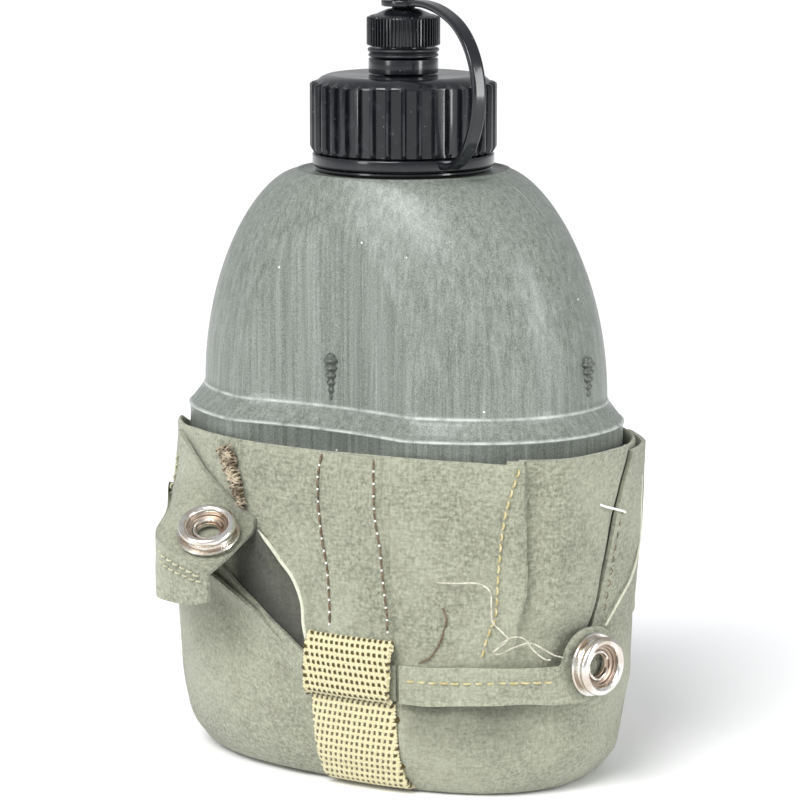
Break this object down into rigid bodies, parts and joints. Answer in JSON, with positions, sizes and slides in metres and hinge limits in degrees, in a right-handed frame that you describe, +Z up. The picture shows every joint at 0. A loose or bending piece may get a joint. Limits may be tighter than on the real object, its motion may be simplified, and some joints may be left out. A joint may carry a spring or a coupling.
{
  "type": "canteen with pouch",
  "caption": "Flat-sided plastic canteen with a ribbed screw cap, a capped spout on a retaining strap, and a cotton pouch with snap flaps and webbing.",
  "frame": {"origin": "on the ground, under the bottle's own axis", "axes": "+Z up along the bottle's axis; the broad faces look along -Y (front, with the webbing) and +Y; the narrow sides along X"},
  "size_m": [0.142, 0.1175, 0.211],
  "materials": {
    "olive_plastic": "satin, fine vertical scuffs",
    "black_plastic": "gloss",
    "black_rubber": "satin",
    "liner_plastic": "matt",
    "canvas": "plain-weave cotton canvas",
    "webbing": "coarse cotton webbing",
    "nickel": "worn nickel plate"
  },
  "bodies": {
    "pouch": {"pouch_front_panel": "canvas", "pouch_back_panel": "canvas", "pouch_base_panel": "canvas", "centre_strip": "canvas", "strap_fixed_run": "canvas", "keeper_loop": "webbing", "base_webbing": "webbing", "belt_loop": "webbing", "right_snap_stud": "nickel"},
    "bottle": {"bottle_shell": "olive_plastic"},
    "gasket": {"cap_gasket": "black_rubber"},
    "cap": {"screw_cap": "black_plastic", "spout_nozzle": "black_plastic", "spout_ring": "black_rubber"},
    "strap": {"retaining_strap": "black_plastic"},
    "spout_cap": {"spout_cap": "black_plastic", "spout_cap_liner": "liner_plastic", "cap_button": "black_plastic"},
    "left_flap": {"left_flap": "canvas", "left_snap_ring": "nickel", "left_snap_spring": "nickel", "left_snap_backing": "nickel"},
    "right_flap": {"right_flap": "canvas"},
    "strap_end": {"strap_free_run": "canvas", "right_snap_ring": "nickel", "right_snap_spring": "nickel", "right_snap_backing": "nickel"}
  },
  "joints": [
    {"name": "bottle_lift", "type": "slide", "parent": "pouch", "child": "bottle", "axis": [0, 0, 1], "range_m": [0, 0.1]},
    {"name": "cap_rise", "type": "slide", "parent": "bottle", "child": "gasket", "axis": [0, 0, 1], "range_m": [0, 0.024]},
    {"name": "cap_turn", "type": "hinge", "parent": "gasket", "child": "cap", "pos_m": [0, 0, 0.175], "axis": [0, 0, 1], "range_deg": [0, 1440]},
    {"name": "spout_rise", "type": "slide", "parent": "cap", "child": "strap", "axis": [0, 0, 1], "range_m": [0, 0.006], "deforming": ["retaining_strap"]},
    {"name": "spout_turn", "type": "hinge", "parent": "strap", "child": "spout_cap", "pos_m": [0, 0, 0.2], "axis": [0, 0, 1], "range_deg": [0, 1080]},
    {"name": "left_flap_swing", "type": "hinge", "parent": "pouch", "child": "left_flap", "pos_m": [-0.015, -0.0455, 0.07], "axis": [0, 0, 1], "range_deg": [0, 90]},
    {"name": "right_flap_swing", "type": "hinge", "parent": "pouch", "child": "right_flap", "pos_m": [0.05068, 0.03546, 0.067], "axis": [0, 0, 1], "range_deg": [0, 80]},
    {"name": "strap_end_swing", "type": "hinge", "parent": "pouch", "child": "strap_end", "pos_m": [0.02806, -0.04304, 0.032], "axis": [0, 0, -1], "range_deg": [0, 60]}
  ],
  "couplings": [
    {"joint": "cap_turn", "follows": "cap_rise", "rad_per_m": 1047.2},
    {"joint": "spout_turn", "follows": "spout_rise", "rad_per_m": 3141.6}
  ]
}
